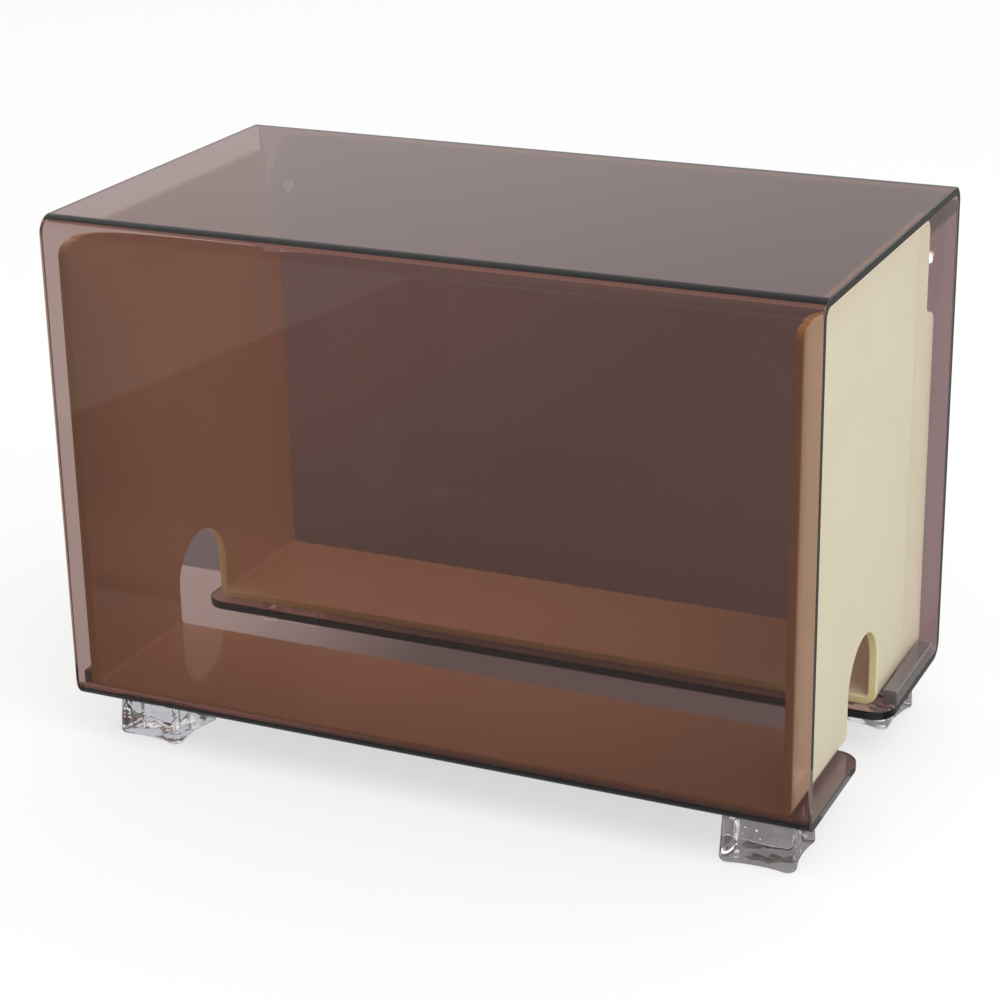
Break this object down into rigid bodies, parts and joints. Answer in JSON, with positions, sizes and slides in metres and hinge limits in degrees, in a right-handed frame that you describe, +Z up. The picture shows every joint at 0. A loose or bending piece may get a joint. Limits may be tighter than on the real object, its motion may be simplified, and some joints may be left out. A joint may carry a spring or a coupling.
{
  "type": "wipes dispenser box",
  "caption": "Smoked clear box on clear feet, open at its ends, with a cream U-shaped cradle inside and a slot along its floor to pull wipes out from below.",
  "frame": {"origin": "on the floor under the middle of the box, at the centre of its outline", "axes": "+X along the box towards its right end, +Y from the front panel to the rear panel, +Z up"},
  "size_m": [0.26, 0.145, 0.183],
  "materials": {
    "smoked_cover": "polished brown smoke acrylic sheet, clear enough to see through",
    "cream_cradle": "glossy opaque cream acrylic sheet",
    "smoked_bar": "glossy dark smoke acrylic strip",
    "clear_foot": "clear moulded acrylic"
  },
  "bodies": {
    "root": {"cover": "smoked_cover", "cradle": "cream_cradle", "stop_bar_left_front": "smoked_bar", "stop_bar_right_rear": "smoked_bar", "foot_front_left": "clear_foot", "foot_front_right": "clear_foot", "foot_rear_left": "clear_foot", "foot_rear_right": "clear_foot"}
  },
  "joints": []
}
